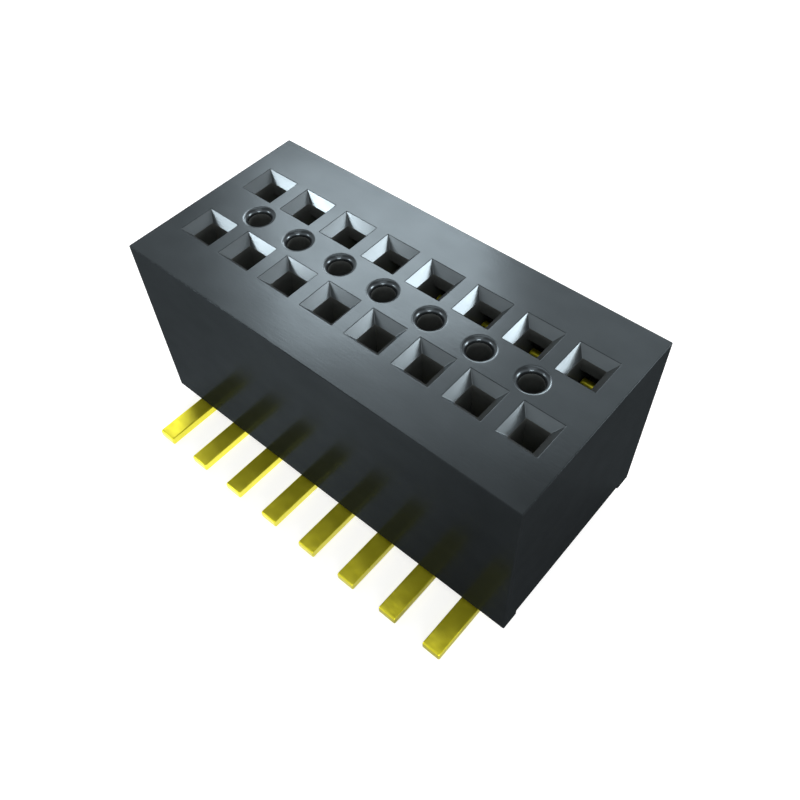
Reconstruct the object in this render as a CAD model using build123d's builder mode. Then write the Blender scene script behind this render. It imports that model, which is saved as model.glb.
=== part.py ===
from build123d import *
from math import hypot
import os

# Surface-mount socket strip, two rows, pins enter from above.
# Millimetres. Z = 0 is the board, +Z points at the mating board, X runs along the rows.

# Grid of the contacts
positions = 8
pitch = 0.80
row_spacing = 1.20

# Pin that the socket takes, and its entry in the top face
pin_size = 0.30
pin_clearance = 0.028
lead_in_along = 0.117
lead_in_across = 0.110
lead_in_depth = 0.14
roof = 0.35

# Contact strip, stamped and bent
strip_thickness = 0.15
strip_width = 0.30
tail_reach = 0.84
tail_bend = 0.10
tail_edge = 0.02
root_bend = 0.45
root_rise = 0.12
crown_bend = 0.22
crown_depth = 0.98
pin_squeeze = 0.07
tip_depth = 0.59
tip_offset = 0.275
tip_edge = 0.045

# Retention plate of the contact, with barbs, and its groove in the cavity
plate_height = 0.65
plate_start = 0.14
plate_overhang = 0.04
barb_count = 2
barb_bite = 0.02
barb_length = 0.18
barb_land = 0.04
groove_play = 0.01

# Moulded housing
body_height = 3.09
end_wall = 0.42
side_wall = 0.44
cavity_reach = 0.55
beam_clearance = 0.03
tail_gap = 0.08
rail_width = 0.28
rail_height = 0.12
edge_round = 0.02

# Round core holes between the columns, with rounded rims
core_wall = 0.084
core_rim = 0.08
core_floor = 0.50

# Heights above the board
foot_level = strip_thickness + tail_gap
recess_level = foot_level + rail_height
top_level = foot_level + body_height
roof_level = top_level - roof
plate_bottom = recess_level + plate_start
plate_top = plate_bottom + plate_height

# Widths along the rows
throat = pin_size + 2 * pin_clearance
mouth_along = throat + 2 * lead_in_along
mouth_across = throat + 2 * lead_in_across
cavity_width = strip_width + 2 * beam_clearance
plate_width = strip_width + 2 * plate_overhang
groove_width = plate_width + 2 * barb_bite
body_length = (positions - 1) * pitch + cavity_width + 2 * end_wall

# Distances from the middle plane between the rows
row_offset = row_spacing / 2
pin_side = row_offset - throat / 2
outer_side = row_offset + cavity_reach
body_width = 2 * (outer_side + side_wall)
leg_offset = outer_side - strip_thickness / 2
tail_tip = body_width / 2 + tail_reach

# Round holes keep core_wall of plastic beside the nearest corners of the entries
core_reach = hypot((pitch - mouth_along) / 2, row_offset - mouth_across / 2)
core_radius = core_reach - core_wall - core_rim


def column_centres():
    """X of each pair of contacts, from one end of the strip to the other."""
    return [(column - (positions - 1) / 2) * pitch for column in range(positions)]


def make_cavity():
    """Space of one back-row cavity at X = 0: lead-in, throat, beam room and plate groove."""
    groove_depth = strip_thickness + groove_play
    with BuildPart() as cavity:
        with BuildSketch(Plane.XY.offset(top_level)):
            with Locations((0, row_offset)):
                Rectangle(mouth_along, mouth_across)
        with BuildSketch(Plane.XY.offset(top_level - lead_in_depth)):
            with Locations((0, row_offset)):
                Rectangle(throat, throat)
        loft()

        with BuildSketch(Plane.XY.offset(roof_level)):
            with Locations((0, row_offset)):
                Rectangle(throat, throat)
        extrude(amount=roof - lead_in_depth)

        with BuildSketch(Plane.XY.offset(recess_level)):
            with Locations((0, (pin_side + outer_side) / 2)):
                Rectangle(cavity_width, outer_side - pin_side)
        extrude(amount=roof_level - recess_level)

        with BuildSketch(Plane.XY.offset(recess_level)):
            with Locations((0, outer_side - groove_depth / 2)):
                Rectangle(groove_width, groove_depth)
        extrude(amount=plate_top - recess_level)
    return cavity


def make_housing(cavity):
    """The moulded block: rails under both long sides, cavities and round core holes."""
    seats = [Location((x, 0, 0), (0, 0, turn)) for x in column_centres() for turn in (0, 180)]
    with BuildPart() as housing:
        with BuildSketch(Plane.XY.offset(foot_level)):
            Rectangle(body_length, body_width)
        extrude(amount=body_height)
        fillet(housing.edges().filter_by(Axis.Z), radius=edge_round)
        fillet(housing.faces().sort_by(Axis.Z)[-1].edges(), radius=edge_round)

        with BuildSketch(Plane.XY.offset(foot_level)):
            Rectangle(body_length, body_width - 2 * rail_width)
        extrude(amount=rail_height, mode=Mode.SUBTRACT)

        with BuildSketch(Plane.XY.offset(recess_level + core_floor)):
            with GridLocations(pitch, 1, positions - 1, 1):
                Circle(core_radius)
        extrude(amount=top_level - recess_level - core_floor, mode=Mode.SUBTRACT)
        top_face = housing.faces().sort_by(Axis.Z)[-1]
        fillet(top_face.inner_wires().edges(), radius=core_rim)

        with Locations(*seats):
            add(cavity.part, mode=Mode.SUBTRACT)
    return housing


def plate_outline():
    """Right-hand edge of the flat blank, seen square on, from the tail up to the tip."""
    strip_edge = strip_width / 2
    plate_edge = plate_width / 2
    barb_edge = groove_width / 2
    points = [(0, 0), (strip_edge, 0), (strip_edge, plate_bottom), (plate_edge, plate_bottom)]
    step = plate_height / barb_count
    for barb in range(barb_count):
        lower = plate_bottom + (barb + 0.5) * step - barb_length / 2
        points.append((plate_edge, lower))
        points.append((barb_edge, lower))
        points.append((barb_edge, lower + barb_land))
        points.append((plate_edge, lower + barb_length))
    points.append((plate_edge, plate_top))
    points.append((strip_edge, plate_top))
    points.append((strip_edge, top_level))
    points.append((0, top_level))
    return points


def make_contact(x, side):
    """One contact: flat tail, bend, barbed plate, sprung beam, crown and coined, flared tip."""
    half = strip_thickness / 2
    crown_offset = pin_side + pin_size - pin_squeeze + half
    path = [
        (tail_tip, half),
        (leg_offset, half),
        (leg_offset, plate_top + root_rise),
        (crown_offset, top_level - crown_depth),
        (row_offset + tip_offset, top_level - tip_depth),
    ]
    bends = [tail_bend + half, root_bend, crown_bend]
    bend_plane = Plane(origin=(x, 0, 0), x_dir=(0, side, 0), z_dir=(side, 0, 0))
    front_plane = Plane(origin=(x, 0, 0), x_dir=(1, 0, 0), z_dir=(0, -1, 0))

    with BuildPart() as contact:
        with BuildSketch(bend_plane):
            with BuildLine():
                FilletPolyline(*path, radius=bends)
            trace(line_width=strip_thickness)
        extrude(amount=groove_width / 2, both=True)

        with BuildSketch(front_plane):
            with BuildLine():
                Polyline(*plate_outline())
                mirror(about=Plane.YZ)
            make_face()
        extrude(amount=tail_tip, both=True, mode=Mode.INTERSECT)

        tail_end = contact.faces().sort_by(Axis.Y)[-1 if side > 0 else 0]
        chamfer(tail_end.edges(), length=tail_edge)
        tip_end = contact.faces().sort_by(Axis.Z)[-1]
        chamfer(tip_end.edges().filter_by(Axis.X), length=tip_edge)
    return contact


os.makedirs("parts", exist_ok=True)

housing = make_housing(make_cavity())
housing.part.label = "housing"
export_step(housing.part, "parts/housing.step")

for row_name, side in (("front", -1), ("back", 1)):
    for number, x in enumerate(column_centres(), start=1):
        contact = make_contact(x, side)
        contact.part.label = f"contact_{row_name}_{number}"
        export_step(contact.part, f"parts/{contact.part.label}.step")
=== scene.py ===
import bmesh
import bpy
import math
from mathutils import Matrix, Vector


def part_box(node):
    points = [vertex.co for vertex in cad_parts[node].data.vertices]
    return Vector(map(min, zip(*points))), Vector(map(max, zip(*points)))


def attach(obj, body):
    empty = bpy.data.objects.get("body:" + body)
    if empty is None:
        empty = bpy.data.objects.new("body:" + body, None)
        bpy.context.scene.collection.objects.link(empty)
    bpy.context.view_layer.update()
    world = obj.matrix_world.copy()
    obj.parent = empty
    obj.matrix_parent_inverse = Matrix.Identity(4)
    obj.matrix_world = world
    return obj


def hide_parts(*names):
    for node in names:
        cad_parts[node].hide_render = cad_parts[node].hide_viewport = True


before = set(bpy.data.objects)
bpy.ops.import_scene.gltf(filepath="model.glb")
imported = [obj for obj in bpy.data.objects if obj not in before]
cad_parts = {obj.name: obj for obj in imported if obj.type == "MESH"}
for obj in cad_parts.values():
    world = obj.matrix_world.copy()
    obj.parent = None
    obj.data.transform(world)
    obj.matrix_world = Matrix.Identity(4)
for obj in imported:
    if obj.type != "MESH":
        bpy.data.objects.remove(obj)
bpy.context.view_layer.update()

# All sizes are millimetres until a mesh is finished; the scene itself is in metres.
MM = 0.001

# Entries in the top face, and the cavity under each
PITCH = 0.80
ROW_OFFSET = 0.60
THROAT = 0.356
LEAD_IN_ALONG = 0.117
LEAD_IN_ACROSS = 0.110
LEAD_IN_DEPTH = 0.14
ROOF = 0.35
CAVITY_WIDTH = 0.36
CAVITY_OUTER = 1.15
GROOVE_WIDTH = 0.42
GROOVE_DEPTH = 0.16

# Round core holes between the columns
CORE_RADIUS = 0.165
CORE_RIM = 0.08
CORE_FLOOR = 0.50

# Underside of the block
RAIL_WIDTH = 0.28
RAIL_HEIGHT = 0.12

# Edges that the mould leaves a little round
UPRIGHT_EDGE = 0.018
TOP_EDGE = 0.012
FOOT_EDGE = 0.012
MOUTH_EDGE = 0.012
THROAT_EDGE = 0.012
POCKET_CORNER = 0.008
CORE_FLOOR_EDGE = 0.03

# Contact strip
STRIP_THICKNESS = 0.15
STRIP_WIDTH = 0.30
TAIL_BEND = 0.175
ROOT_BEND = 0.45
CROWN_BEND = 0.22
ROOT_RISE = 0.12
CROWN_OFFSET = 0.727
CROWN_DEPTH = 0.98
TIP_OFFSET = 0.875
TIP_DEPTH = 0.59
PLATE_WIDTH = 0.38
PLATE_START = 0.14
PLATE_HEIGHT = 0.65
BARBS = 2
BARB_LENGTH = 0.18
BARB_LAND = 0.04

# Roundings of the strip. Where it is thin, its edges take this share of half its thickness.
STRIP_EDGE = 0.018
TAIL_EDGE = 0.030
TIP_EDGE = 0.066
CUT_SIDE = 0.012
EDGE_SHARE = 0.6

# Steps in which each rounding, bend or circle is drawn
EDGE_STEPS = 4
CORNER_STEPS = 3
RIM_STEPS = 9
CIRCLE_STEPS = 72
BEND_STEPS = 10
END_STEPS = 6

# Points of a ring round the block that belong to its two back corners
BACK_POINTS = 2 * (EDGE_STEPS + 1)

# A face at least this long each way is a flat wall, and faces that agree this much are one surface
WALL_FROM = 0.04
SAME_SURFACE = 0.5

# Finishes of the block: its outside, the lead-ins, the inner walls and the rims of the round holes. The
# lead-ins and inner walls are lighter copies of the outside resin, with painted light in the entries and
# down the wells.
SKIN, LEAD_IN, INSIDE, RIM = range(4)

# Rows of contacts, as the sign of their place across the block
BACK = 1
FRONT = -1

# Levels above the board, and the outer sizes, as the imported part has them
block_low, block_high = (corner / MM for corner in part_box("housing"))
strip_high = [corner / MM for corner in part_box("contact_back_1")][-1]
FOOT = block_low.z
TOP = block_high.z
HALF_LENGTH = block_high.x
HALF_WIDTH = block_high.y
RECESS = FOOT + RAIL_HEIGHT
PLATE_BOTTOM = RECESS + PLATE_START
PLATE_TOP = PLATE_BOTTOM + PLATE_HEIGHT
TAIL_TIP = strip_high.y
LEG_OFFSET = CAVITY_OUTER - STRIP_THICKNESS / 2
COLUMNS = sum(1 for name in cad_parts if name.startswith("contact_back_"))

# Camera: place of the lens from the middle of the footprint, and how it is turned
CAMERA_PLACE = Vector((5.4793, -5.6286, 11.0759))
CAMERA_AZIMUTH = -46.84
CAMERA_ELEVATION = 52.22
CAMERA_ROLL = -2.99
CAMERA_LENS = 37.15
CLIP_NEAR = 0.1
CLIP_FAR = 10000

# Lamps: what they face, how far off they are, and the watts of a square metre that looks white
LIGHT_TARGET = Vector((0, 0, TOP))
LAMP_DISTANCE = 60
WHITE_WATTS = 4

# Floor: how far it reaches, its tone, and how it glows for the camera
FLOOR_REACH = 3000
FLOOR_TONE = (0.52, 0.52, 0.52, 1)
FLOOR_GLOW = 0.55

# Further glow for the camera, from where the lamps light the floor to where they no longer do
LIT_REACH = 30
UNLIT_REACH = 80
LIT_GLOW = 0.18
UNLIT_GLOW = 0.45

# Glow of the floor in mirrored rays: full over a stretch of X, and weaker to the left and right. This
# grading is a painted reflection that puts painted shade on the right of the front wall and on the
# right-hand tails.
FULL_FROM = -1.8
FULL_TO = -1.2
FULL_GLOW = 1
LEFT_END = -4.5
LEFT_GLOW = 0.6
RIGHT_END = 2.1
RIGHT_GLOW = 0.08

# World: the even light that it gives, and how its own white fades between two heights
WORLD_LIGHT = 0.26
WHITE = (1, 1, 1, 1)
SKY_LOW = 0.45
SKY_HIGH = 0.80
SKY_LOW_GLOW = 1.0
SKY_HIGH_GLOW = 0.25

# Most of a noise lies between these. Its cells are counted for each millimetre.
NOISE_LOW = 0.3
NOISE_HIGH = 0.7

# Resin: grain and fibres raise its surface, and the cloud and fibres vary its sheen
GRAIN_CELLS = 26
GRAIN_RELIEF = 0.003
CLOUD_CELLS = 2.2
CLOUD_STRETCH = (1, 1.6, 1.6)
FIBRE_CELLS = 9
FIBRE_STRETCH = (0.7, 4, 4)
FIBRE_RELIEF = 0.005
RESIN_ROUGHNESS = 0.55
SHEEN_TINT = (0.76, 0.91, 1.0, 1)
LEAST_SHEEN = 0.94
MOST_SHEEN = 1.06
SMOOTHEST = 0.95
ROUGHEST = 1.06

# Gold plate: lines of the rolled stock, and soft patches that also vary its tone
DEEP_GOLD = (0.83, 0.765, 0.025, 1)
PALE_GOLD = (0.905, 0.835, 0.042, 1)
GOLD_BUMP = 0.3
ROLLING_CELLS = 6
ROLLING_STRETCH = (6, 0.6, 0.6)
ROLLING_RELIEF = 0.002
PATCH_CELLS = 5
PATCH_RELIEF = 0.02
GOLD_SMOOTH = 0.29
GOLD_ROUGH = 0.34

# Sockets of a node that mixes two colours
MIX_SHARE = 0
MIX_FIRST = 6
MIX_SECOND = 7
MIX_RESULT = 2


def column_centres():
    """X of each column of entries, from one end of the block to the other."""
    return [(column - (COLUMNS - 1) / 2) * PITCH for column in range(COLUMNS)]


def arc_points(centre, start, end, steps):
    """Points on the arc about a centre that turns the spoke start into the spoke end."""
    turn = start.angle(end)
    points = []
    for step in range(steps + 1):
        part = step / steps
        spoke = (start * math.sin((1 - part) * turn) + end * math.sin(part * turn)) / math.sin(turn)
        points.append(centre + spoke)
    return points


def quarter_round(offset, radius, steps):
    """Quarter arc from a level surface down into an upright wall that stands at the offset."""
    centre = Vector((offset + radius, radius))
    return arc_points(centre, Vector((0, -radius)), Vector((-radius, 0)), steps)


def rounded_path(corners, radii, steps):
    """Path through the corners whose inner corners are arcs of the given radii."""
    corners = [Vector(corner) for corner in corners]
    path = [corners[0]]
    for before, corner, after, radius in zip(corners, corners[1:], corners[2:], radii):
        back = (before - corner).normalized()
        onward = (after - corner).normalized()
        half_turn = (math.pi - back.angle(onward)) / 2
        reach = radius * math.tan(half_turn)
        centre = corner + (back + onward).normalized() * radius / math.cos(half_turn)
        start = corner + back * reach - centre
        end = corner + onward * reach - centre
        path += arc_points(centre, start, end, steps)
    path.append(corners[-1])
    return path


def rounded_rectangle(half_x, half_y, radius, steps):
    """Corner points of a rounded rectangle about the origin, anticlockwise from its +X side."""
    points = []
    for quarter, (side_x, side_y) in enumerate(((1, 1), (-1, 1), (-1, -1), (1, -1))):
        centre = Vector((side_x * (half_x - radius), side_y * (half_y - radius)))
        for step in range(steps + 1):
            angle = math.radians(90 * (quarter + step / steps))
            points.append(centre + Vector((math.cos(angle), math.sin(angle))) * radius)
    return points


def add_ring(mesh, points):
    """New vertices at the points, in order."""
    return [mesh.verts.new(point) for point in points]


def add_face(mesh, corners, smooth=False, finish=SKIN):
    """One face. Its finish is the place of its material in the piece, and a strip has only the first."""
    face = mesh.faces.new(corners)
    face.smooth = smooth
    face.material_index = finish


def bridge(mesh, rings, closed=True, finish=SKIN):
    """Bands of faces between rings, or between open chains. Only faces wide each way stay flat."""
    for first, second in zip(rings, rings[1:]):
        count = len(first)
        rounded = (first[0].co - second[0].co).length < WALL_FROM
        for index in range(count if closed else count - 1):
            after = (index + 1) % count
            narrow = (first[index].co - first[after].co).length < WALL_FROM
            corners = (first[index], first[after], second[after], second[index])
            add_face(mesh, corners, smooth=rounded or narrow, finish=finish)


def fill_flat(mesh, outline, holes, finish=SKIN):
    """Flat wall between an outline and the holes in it, using only their own points."""
    edges = []
    for ring in [outline] + holes:
        for start, end in zip(ring, ring[1:] + ring[:1]):
            edges.append(mesh.edges.get((start, end)) or mesh.edges.new((start, end)))
    filled = bmesh.ops.triangle_fill(mesh, use_beauty=True, use_dissolve=False, edges=edges)
    for face in filled["geom"]:
        if isinstance(face, bmesh.types.BMFace):
            face.smooth = False
            face.material_index = finish


def corner_normals(mesh):
    """Shading that keeps flat walls flat and lets rounded edges run into them without a crease."""
    normals = []
    for face in mesh.faces:
        for corner in face.verts:
            normal = face.normal.copy()
            near = [other for other in corner.link_faces if other.normal.dot(face.normal) > SAME_SURFACE]
            walls = [other for other in near if not other.smooth]
            if face.smooth and walls:
                normal = max(walls, key=lambda wall: wall.normal.dot(face.normal)).normal.copy()
            elif face.smooth:
                normal = sum((other.normal * other.calc_area() for other in near), Vector()).normalized()
            normals.append(normal)
    return normals


def finish_piece(name, mesh, materials):
    """Turns a mesh in millimetres into a piece of the object."""
    bmesh.ops.recalc_face_normals(mesh, faces=mesh.faces)
    mesh.normal_update()
    normals = corner_normals(mesh)
    bmesh.ops.scale(mesh, vec=(MM, MM, MM), verts=mesh.verts)
    data = bpy.data.meshes.new(name)
    mesh.to_mesh(data)
    mesh.free()
    data.normals_split_custom_set(normals)
    for material in materials:
        data.materials.append(material)
    piece = bpy.data.objects.new(name, data)
    bpy.context.scene.collection.objects.link(piece)
    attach(piece, "root")
    return piece


def add_cavity(mesh, x, side):
    """Entry and cavity of one contact. Returns its rings in the top face and in the underside."""
    def place(along, across, height):
        return Vector((x + side * along, side * across, height))

    drop = [(LEAD_IN_ALONG + PITCH, 0), (LEAD_IN_ALONG, 0), (0, LEAD_IN_DEPTH), (0, ROOF)]
    rings = []
    for widening, depth in rounded_path(drop, (MOUTH_EDGE, THROAT_EDGE), EDGE_STEPS)[1:]:
        half_x = THROAT / 2 + widening
        half_y = THROAT / 2 + widening * LEAD_IN_ACROSS / LEAD_IN_ALONG
        outline = rounded_rectangle(half_x, half_y, POCKET_CORNER, CORNER_STEPS)
        level = TOP - depth
        rings.append(add_ring(mesh, [place(point.x, point.y + ROW_OFFSET, level) for point in outline]))
    bridge(mesh, rings[:EDGE_STEPS + 1])
    bridge(mesh, rings[EDGE_STEPS:EDGE_STEPS + 2], finish=LEAD_IN)
    bridge(mesh, rings[EDGE_STEPS + 1:], finish=INSIDE)

    room = CAVITY_WIDTH / 2
    groove = GROOVE_WIDTH / 2
    pin_side = ROW_OFFSET - room
    ledge = CAVITY_OUTER - GROOVE_DEPTH
    plan = [(-room, pin_side), (room, pin_side), (room, ledge), (room, CAVITY_OUTER)]
    plan += [(-room, CAVITY_OUTER), (-room, ledge)]
    ceiling = add_ring(mesh, [place(along, across, TOP - ROOF) for along, across in plan])
    shelf = add_ring(mesh, [place(along, across, PLATE_TOP) for along, across in plan])
    fill_flat(mesh, ceiling, [rings[-1]], finish=INSIDE)
    bridge(mesh, [ceiling, shelf], finish=INSIDE)

    right = add_ring(mesh, [place(groove, ledge, PLATE_TOP), place(groove, CAVITY_OUTER, PLATE_TOP)])
    left = add_ring(mesh, [place(-groove, CAVITY_OUTER, PLATE_TOP), place(-groove, ledge, PLATE_TOP)])
    inner_left, inner_right, right_ledge, right_outer, left_outer, left_ledge = shelf
    add_face(mesh, (right_ledge, *right, right_outer), finish=INSIDE)
    add_face(mesh, (left_outer, *left, left_ledge), finish=INSIDE)
    wide = [inner_left, inner_right, right_ledge, *right, right_outer, left_outer, *left, left_ledge]
    opening = add_ring(mesh, [Vector((corner.co.x, corner.co.y, RECESS)) for corner in wide])
    bridge(mesh, [wide, opening], finish=INSIDE)
    return rings[0], opening


def add_core_hole(mesh, x):
    """Blind round hole with a rounded rim. Returns its ring in the top face."""
    rim = quarter_round(CORE_RADIUS, CORE_RIM, RIM_STEPS)
    bottom = TOP - RECESS - CORE_FLOOR
    well = [(CORE_RADIUS, CORE_RIM), (CORE_RADIUS, bottom), (0, bottom)]
    drop = rim + rounded_path(well, (CORE_FLOOR_EDGE,), EDGE_STEPS)[1:-1]
    circle = [math.radians(360 * step / CIRCLE_STEPS) for step in range(CIRCLE_STEPS)]
    rings = []
    for radius, depth in drop:
        points = []
        for angle in circle:
            points.append(Vector((x + radius * math.cos(angle), radius * math.sin(angle), TOP - depth)))
        rings.append(add_ring(mesh, points))
    bridge(mesh, rings[:2])
    bridge(mesh, rings[1:len(rim)], finish=RIM)
    bridge(mesh, rings[len(rim) - 1:], finish=INSIDE)
    add_face(mesh, rings[-1], finish=INSIDE)
    return rings[0]


def wall_ring(mesh, inset, height):
    """Ring round the block, with points where the recess of the underside meets the two ends."""
    end = HALF_LENGTH - inset
    step = HALF_WIDTH - RAIL_WIDTH
    outline = rounded_rectangle(end, HALF_WIDTH - inset, UPRIGHT_EDGE - inset, EDGE_STEPS)
    left_end = [Vector((-end, step)), Vector((-end, -step))]
    right_end = [Vector((end, -step)), Vector((end, step))]
    outline = outline[:BACK_POINTS] + left_end + outline[BACK_POINTS:] + right_end
    return add_ring(mesh, [Vector((point.x, point.y, height)) for point in outline])


def add_rail(mesh, upper):
    """Rail under one long side, below the chain of points that it hangs from."""
    chains = [upper]
    profile = [(0, RAIL_HEIGHT), (0, 0), (RAIL_WIDTH / 2, 0)]
    for inset, rise in rounded_path(profile, (FOOT_EDGE,), CORNER_STEPS)[1:-1]:
        chain = []
        for index, corner in enumerate(upper):
            spot = corner.co.copy()
            spot.x -= math.copysign(inset, spot.x)
            if 0 < index < len(upper) - 1:
                spot.y -= math.copysign(inset, spot.y)
            spot.z = FOOT + rise
            chain.append(spot)
        chains.append(add_ring(mesh, chain))
    bridge(mesh, chains, closed=False)
    add_face(mesh, chains[-1])
    add_face(mesh, [chain[0] for chain in chains] + [chain[-1] for chain in reversed(chains)])


def make_block(materials):
    """The moulded block, in the place of the housing."""
    mesh = bmesh.new()
    entries = [add_cavity(mesh, x, side) for x in column_centres() for side in (BACK, FRONT)]
    cores = [add_core_hole(mesh, x + PITCH / 2) for x in column_centres()[:-1]]

    rounding = quarter_round(0, TOP_EDGE, EDGE_STEPS)
    walls = [wall_ring(mesh, inset, TOP - depth) for inset, depth in rounding]
    walls.append(wall_ring(mesh, 0, RECESS))
    bridge(mesh, walls)
    foot = walls[-1]
    back_rail = [foot[-1]] + foot[:BACK_POINTS + 1]
    front_rail = foot[BACK_POINTS + 1:-1]
    add_rail(mesh, back_rail)
    add_rail(mesh, front_rail)

    underside = [back_rail[0], back_rail[-1], front_rail[0], front_rail[-1]]
    fill_flat(mesh, walls[0], [mouth for mouth, opening in entries] + cores)
    fill_flat(mesh, underside, [opening for mouth, opening in entries])
    block = finish_piece("moulded_block", mesh, materials)
    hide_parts("housing")


def plate_edges():
    """Half width of the strip against height, up the barbed plate that the block holds."""
    strip = STRIP_WIDTH / 2
    plate = PLATE_WIDTH / 2
    barb = GROOVE_WIDTH / 2
    edges = [(PLATE_BOTTOM, strip), (PLATE_BOTTOM, plate)]
    step = PLATE_HEIGHT / BARBS
    for number in range(BARBS):
        lower = PLATE_BOTTOM + (number + 0.5) * step - BARB_LENGTH / 2
        edges += [(lower, plate), (lower, barb), (lower + BARB_LAND, barb), (lower + BARB_LENGTH, plate)]
    return edges + [(PLATE_TOP, plate), (PLATE_TOP, strip)]


def rounded_end(station, onward, radius):
    """Sections that round the end of a strip, from its very end inwards."""
    spot, heading, half_width, half_thickness = station
    sections = []
    for share, run in quarter_round(0, 1, END_STEPS):
        place = spot + heading * onward * run * radius
        sections.append((place, heading, half_width - share * CUT_SIDE, half_thickness - share * radius))
    return sections


def strip_stations():
    """Sections of a contact from tail to tip: place, direction, and half its width and thickness."""
    half = STRIP_THICKNESS / 2
    strip = STRIP_WIDTH / 2
    corners = [(TAIL_TIP, half), (LEG_OFFSET, half), (LEG_OFFSET, PLATE_TOP + ROOT_RISE)]
    corners += [(CROWN_OFFSET, TOP - CROWN_DEPTH), (TIP_OFFSET, TOP - TIP_DEPTH)]
    path = rounded_path(corners, (TAIL_BEND, ROOT_BEND, CROWN_BEND), BEND_STEPS)
    leg = BEND_STEPS + 2
    places = [(spot, strip) for spot in path[:leg]]
    places += [(Vector((LEG_OFFSET, height)), width) for height, width in plate_edges()]
    places += [(spot, strip) for spot in path[leg:]]

    stations = []
    for index, (spot, width) in enumerate(places):
        before = places[max(index - 1, 0)][0]
        after = places[min(index + 1, len(places) - 1)][0]
        stations.append((spot, (after - before).normalized(), width, half))
    tail = rounded_end(stations[0], 1, TAIL_EDGE)
    tip = rounded_end(stations[-1], -1, TIP_EDGE)
    return tail + stations[1:-1] + tip[::-1]


def make_contact(name, x, side, material):
    """One contact strip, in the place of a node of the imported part."""
    mesh = bmesh.new()
    rings = []
    for spot, heading, half_width, half_thickness in strip_stations():
        edge = min(STRIP_EDGE, EDGE_SHARE * half_thickness)
        section = rounded_rectangle(half_width, half_thickness, edge, CORNER_STEPS)
        across = Vector((-heading.y, heading.x))
        points = []
        for point in section:
            offset = spot + across * point.y
            points.append(Vector((x + side * point.x, side * offset.x, offset.y)))
        rings.append(add_ring(mesh, points))
    bridge(mesh, rings)
    add_face(mesh, rings[0])
    add_face(mesh, rings[-1])
    strip = finish_piece(name.replace("contact", "strip"), mesh, [material])
    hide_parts(name)


def direction(azimuth, elevation):
    """Unit vector from the object towards a compass direction, azimuth from +X to +Y."""
    turn = math.radians(azimuth)
    rise = math.radians(elevation)
    return Vector((math.cos(turn) * math.cos(rise), math.sin(turn) * math.cos(rise), math.sin(rise)))


def make_camera():
    """Camera that looks at the object as the photo does."""
    data = bpy.data.cameras.new("camera")
    data.lens = CAMERA_LENS
    data.clip_start = CLIP_NEAR * MM
    data.clip_end = CLIP_FAR * MM
    camera = bpy.data.objects.new("camera", data)
    bpy.context.scene.collection.objects.link(camera)
    level = direction(CAMERA_AZIMUTH, CAMERA_ELEVATION).to_track_quat("Z", "Y").to_matrix()
    roll = Matrix.Rotation(math.radians(CAMERA_ROLL), 3, "Z")
    camera.matrix_world = Matrix.Translation(CAMERA_PLACE * MM) @ (level @ roll).to_4x4()
    bpy.context.scene.camera = camera


def make_softbox(name, azimuth, elevation, width, height, radiance):
    """Softbox facing the object. Radiance is the brightness of its face, where 1 is white."""
    data = bpy.data.lights.new(name, "AREA")
    data.shape = "RECTANGLE"
    data.size = width * MM
    data.size_y = height * MM
    data.energy = radiance * WHITE_WATTS * data.size * data.size_y
    lamp = bpy.data.objects.new(name, data)
    bpy.context.scene.collection.objects.link(lamp)
    away = direction(azimuth, elevation)
    turn = away.to_track_quat("Z", "Y").to_matrix().to_4x4()
    lamp.matrix_world = Matrix.Translation((LIGHT_TARGET + away * LAMP_DISTANCE) * MM) @ turn


class Nodes:
    """Short ways to add and join shader nodes in one material or world."""

    def __init__(self, owner):
        owner.use_nodes = True
        self.tree = owner.node_tree
        self.tree.nodes.clear()

    def add(self, kind, inputs=(), **settings):
        """New node whose inputs are values or the outputs of other nodes."""
        node = self.tree.nodes.new("ShaderNode" + kind)
        for key, value in settings.items():
            setattr(node, key, value)
        for key, value in dict(inputs).items():
            if isinstance(value, bpy.types.NodeSocket):
                self.tree.links.new(value, node.inputs[key])
            else:
                node.inputs[key].default_value = value
        return node

    def calculate(self, operation, *values):
        """Result of one sum on the values."""
        return self.add("Math", dict(enumerate(values)), operation=operation).outputs[0]

    def noise(self, place, cells, detail, stretch=(1, 1, 1)):
        """Noise with so many cells for each millimetre, times the stretch."""
        spot = self.add("Mapping", {"Vector": place, "Scale": [part / MM for part in stretch]})
        looks = {"Vector": spot.outputs[0], "Scale": cells, "Detail": detail}
        return self.add("TexNoise", looks).outputs["Fac"]

    def spread(self, value, low, high, from_low=NOISE_LOW, from_high=NOISE_HIGH):
        """The value, taken from its own range to another."""
        limits = {"From Min": from_low, "From Max": from_high, "To Min": low, "To Max": high}
        return self.add("MapRange", {"Value": value, **limits}).outputs[0]

    def blend(self, share, first, second):
        """The first colour where the share is 0, and the second where it is 1."""
        mix = self.add("Mix", {MIX_SHARE: share, MIX_FIRST: first, MIX_SECOND: second}, data_type="RGBA")
        return mix.outputs[MIX_RESULT]

    def bump(self, strength, relief, height, **under):
        """Normal of a surface with bumps as high as the relief, over those of another bump."""
        heights = {"Strength": strength, "Distance": relief * MM, "Height": height}
        return self.add("Bump", {**heights, **under}).outputs[0]

    def end(self, shader, kind="Material"):
        """Takes the shader to the output of the material or world."""
        out = self.add("Output" + kind)
        self.tree.links.new(shader.outputs[0], out.inputs["Surface"])


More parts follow.
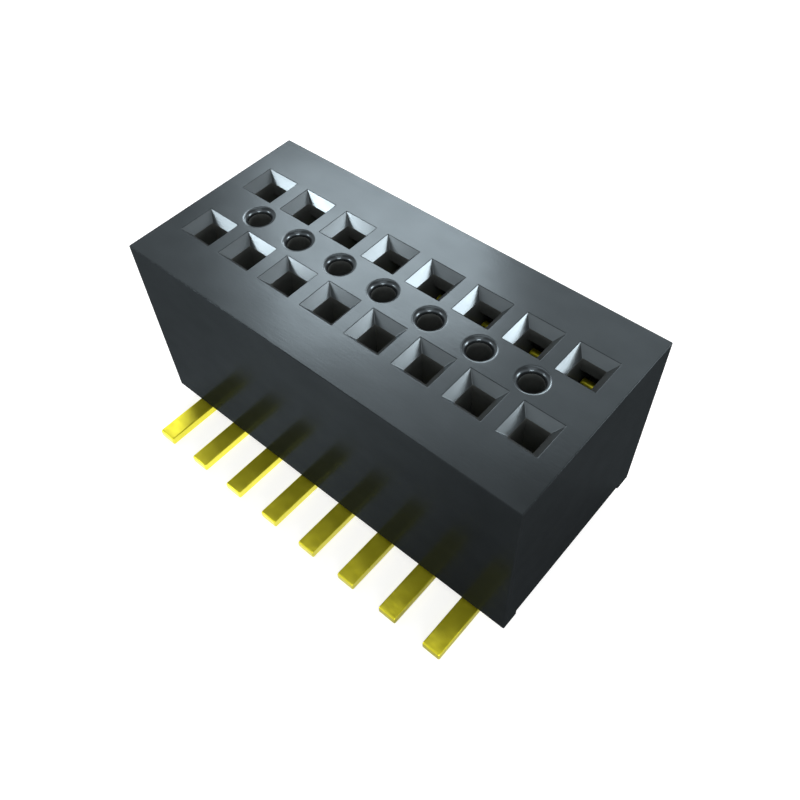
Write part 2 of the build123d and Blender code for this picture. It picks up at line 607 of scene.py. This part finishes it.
def resin_material(name, dark, pale, sheen_share, roughness, relief):
    """Black glass-filled resin between two tones, with a thin even sheen that the fibres mottle."""
    material = bpy.data.materials.new(name)
    nodes = Nodes(material)
    place = nodes.add("TexCoord").outputs["Object"]
    grain = nodes.noise(place, GRAIN_CELLS, detail=2)
    cloud = nodes.noise(place, CLOUD_CELLS, detail=3, stretch=CLOUD_STRETCH)
    fibre = nodes.noise(place, FIBRE_CELLS, detail=2, stretch=FIBRE_STRETCH)

    colour = nodes.blend(nodes.spread(cloud, 0, 1), (*dark, 1), (*pale, 1))
    fine = nodes.bump(relief, GRAIN_RELIEF, grain)
    surface = nodes.bump(relief, FIBRE_RELIEF, fibre, Normal=fine)
    body = nodes.add("BsdfPrincipled", {"Base Color": colour, "Normal": surface})
    body.inputs["Roughness"].default_value = RESIN_ROUGHNESS
    body.inputs["Specular IOR Level"].default_value = 0.0

    rough = nodes.spread(fibre, SMOOTHEST * roughness, ROUGHEST * roughness)
    sheen = nodes.add("BsdfGlossy", {"Roughness": rough, "Normal": surface})
    sheen.inputs["Color"].default_value = SHEEN_TINT
    share = nodes.spread(cloud, LEAST_SHEEN * sheen_share, MOST_SHEEN * sheen_share)
    nodes.end(nodes.add("MixShader", {0: share, 1: body.outputs[0], 2: sheen.outputs[0]}))
    return material


def gold_material():
    """Gold-plated strip, with the grain of the rolled stock along its length and softer patches."""
    material = bpy.data.materials.new("plated_strip")
    nodes = Nodes(material)
    place = nodes.add("TexCoord").outputs["Object"]
    rolling = nodes.noise(place, ROLLING_CELLS, detail=2, stretch=ROLLING_STRETCH)
    patches = nodes.noise(place, PATCH_CELLS, detail=3)
    colour = nodes.blend(nodes.spread(patches, 0, 1), DEEP_GOLD, PALE_GOLD)
    rolled = nodes.bump(GOLD_BUMP, ROLLING_RELIEF, rolling)
    surface = nodes.bump(GOLD_BUMP, PATCH_RELIEF, patches, Normal=rolled)
    rough = nodes.spread(patches, GOLD_SMOOTH, GOLD_ROUGH)
    plate = nodes.add("BsdfPrincipled", {"Base Color": colour, "Normal": surface, "Roughness": rough})
    plate.inputs["Metallic"].default_value = 0.84
    plate.inputs["Specular IOR Level"].default_value = 0.15
    plate.inputs["Coat Weight"].default_value = 0.5
    plate.inputs["Coat Roughness"].default_value = 0.3
    nodes.end(plate)
    return material


def shown_share(nodes):
    """1 for rays from the camera, a mirror or glass, and 0 for rays that only carry light."""
    path = nodes.add("LightPath").outputs
    seen = nodes.calculate("MAXIMUM", path["Is Camera Ray"], path["Is Glossy Ray"])
    return nodes.calculate("MAXIMUM", seen, path["Is Transmission Ray"])


def floor_glow(nodes):
    """How brightly the floor glows for the camera and in mirrors. Of the object, only gloss shows it,
    and the glow in mirrors is graded along X as a painted reflection.
    """
    straight = nodes.add("LightPath").outputs["Is Camera Ray"]
    place = nodes.add("TexCoord").outputs["Object"]
    away = nodes.add("VectorMath", {0: place}, operation="LENGTH").outputs["Value"]
    unlit = nodes.spread(away, LIT_GLOW, UNLIT_GLOW, LIT_REACH * MM, UNLIT_REACH * MM)
    extra = nodes.calculate("MULTIPLY", straight, unlit)

    # Glow in mirrors, graded along X: a painted reflection that puts painted shade on the right of the
    # front wall and on the right-hand tails.
    along = nodes.add("SeparateXYZ", {0: place}).outputs["X"]
    rise = nodes.spread(along, LEFT_GLOW, FULL_GLOW, LEFT_END * MM, FULL_FROM * MM)
    fall = nodes.spread(along, FULL_GLOW, RIGHT_GLOW, FULL_TO * MM, RIGHT_END * MM)
    mirrored = nodes.calculate("MULTIPLY", rise, fall)
    seen = nodes.spread(straight, mirrored, FLOOR_GLOW, 0, 1)
    return nodes.calculate("MULTIPLY_ADD", shown_share(nodes), seen, extra)


def make_floor():
    """Pale floor that keeps the object's shadow and looks plain white to the camera."""
    reach = FLOOR_REACH * MM
    corners = [(-reach, -reach, 0), (reach, -reach, 0), (reach, reach, 0), (-reach, reach, 0)]
    mesh = bpy.data.meshes.new("floor")
    mesh.from_pydata(corners, [], [(0, 1, 2, 3)])
    floor = bpy.data.objects.new("floor", mesh)
    bpy.context.scene.collection.objects.link(floor)
    material = bpy.data.materials.new("white_floor")
    nodes = Nodes(material)
    matt = nodes.add("BsdfDiffuse", {"Color": FLOOR_TONE})
    glow = nodes.add("Emission", {"Strength": floor_glow(nodes)})
    nodes.end(nodes.add("AddShader", {0: matt.outputs[0], 1: glow.outputs[0]}))
    mesh.materials.append(material)


def make_world():
    """White surroundings that give a little even light and look less white higher up."""
    world = bpy.data.worlds.new("studio")
    bpy.context.scene.world = world
    nodes = Nodes(world)
    shown = shown_share(nodes)
    up = nodes.add("SeparateXYZ", {0: nodes.add("TexCoord").outputs["Generated"]}).outputs["Z"]
    faded = nodes.spread(up, SKY_LOW_GLOW, SKY_HIGH_GLOW, SKY_LOW, SKY_HIGH)
    seen = nodes.calculate("MULTIPLY", shown, faded)
    carried = nodes.spread(shown, WORLD_LIGHT, 0, 0, 1)
    sky = nodes.add("Background", {"Strength": nodes.calculate("ADD", seen, carried)})
    sky.inputs["Color"].default_value = WHITE
    nodes.end(sky, "World")


skin = resin_material(
    "moulded_black_resin",
    dark=(0.0084, 0.0095, 0.010),
    pale=(0.0095, 0.0107, 0.0113),
    sheen_share=0.0265,
    roughness=0.17,
    relief=0.09,
)
# Lead-in faces: the same resin about four times lighter than the outside, painted light that makes the
# lead-ins look lit.
lead_in = resin_material(
    "lead_in_resin",
    dark=(0.032, 0.035, 0.036),
    pale=(0.037, 0.041, 0.042),
    sheen_share=0.09,
    roughness=0.20,
    relief=0.01,
)
# Inner walls of the cavities and round holes: the same resin about nine times lighter than the outside,
# painted light that stands in for light which doesn't reach down the wells.
inside = resin_material(
    "inner_wall_resin_painted_light",
    dark=(0.080, 0.086, 0.082),
    pale=(0.094, 0.101, 0.097),
    sheen_share=0.012,
    roughness=0.22,
    relief=0.05,
)
rim = resin_material(
    "rim_resin",
    dark=(0.010, 0.011, 0.012),
    pale=(0.013, 0.0145, 0.015),
    sheen_share=0.072,
    roughness=0.22,
    relief=0.03,
)
gold = gold_material()
make_block([skin, lead_in, inside, rim])
for number, x in enumerate(column_centres(), start=1):
    make_contact(f"contact_back_{number}", x, BACK, gold)
    make_contact(f"contact_front_{number}", x, FRONT, gold)

make_floor()
make_world()
make_softbox("key", azimuth=134, elevation=41, width=19, height=16, radiance=9.5)
make_softbox("key_fill", azimuth=125, elevation=45, width=43, height=28, radiance=2.2)
make_softbox("back_low", azimuth=121, elevation=22, width=32, height=11, radiance=7)
make_softbox("back_right", azimuth=43, elevation=16, width=23, height=20, radiance=10.5)
make_softbox("left_fill", azimuth=154, elevation=38, width=14, height=13, radiance=1.15)
make_softbox("front_left", azimuth=-131.2, elevation=19, width=4, height=8, radiance=31)
make_softbox("front_left_wide", azimuth=-141, elevation=16, width=14, height=10, radiance=5)
make_softbox("front_right", azimuth=-46, elevation=16, width=22, height=16, radiance=8)
make_softbox("front", azimuth=-47, elevation=55, width=40, height=40, radiance=0.8)
make_softbox("overhead", azimuth=150, elevation=80, width=36, height=36, radiance=0.9)
make_camera()
bpy.context.scene.view_settings.view_transform = "Standard"
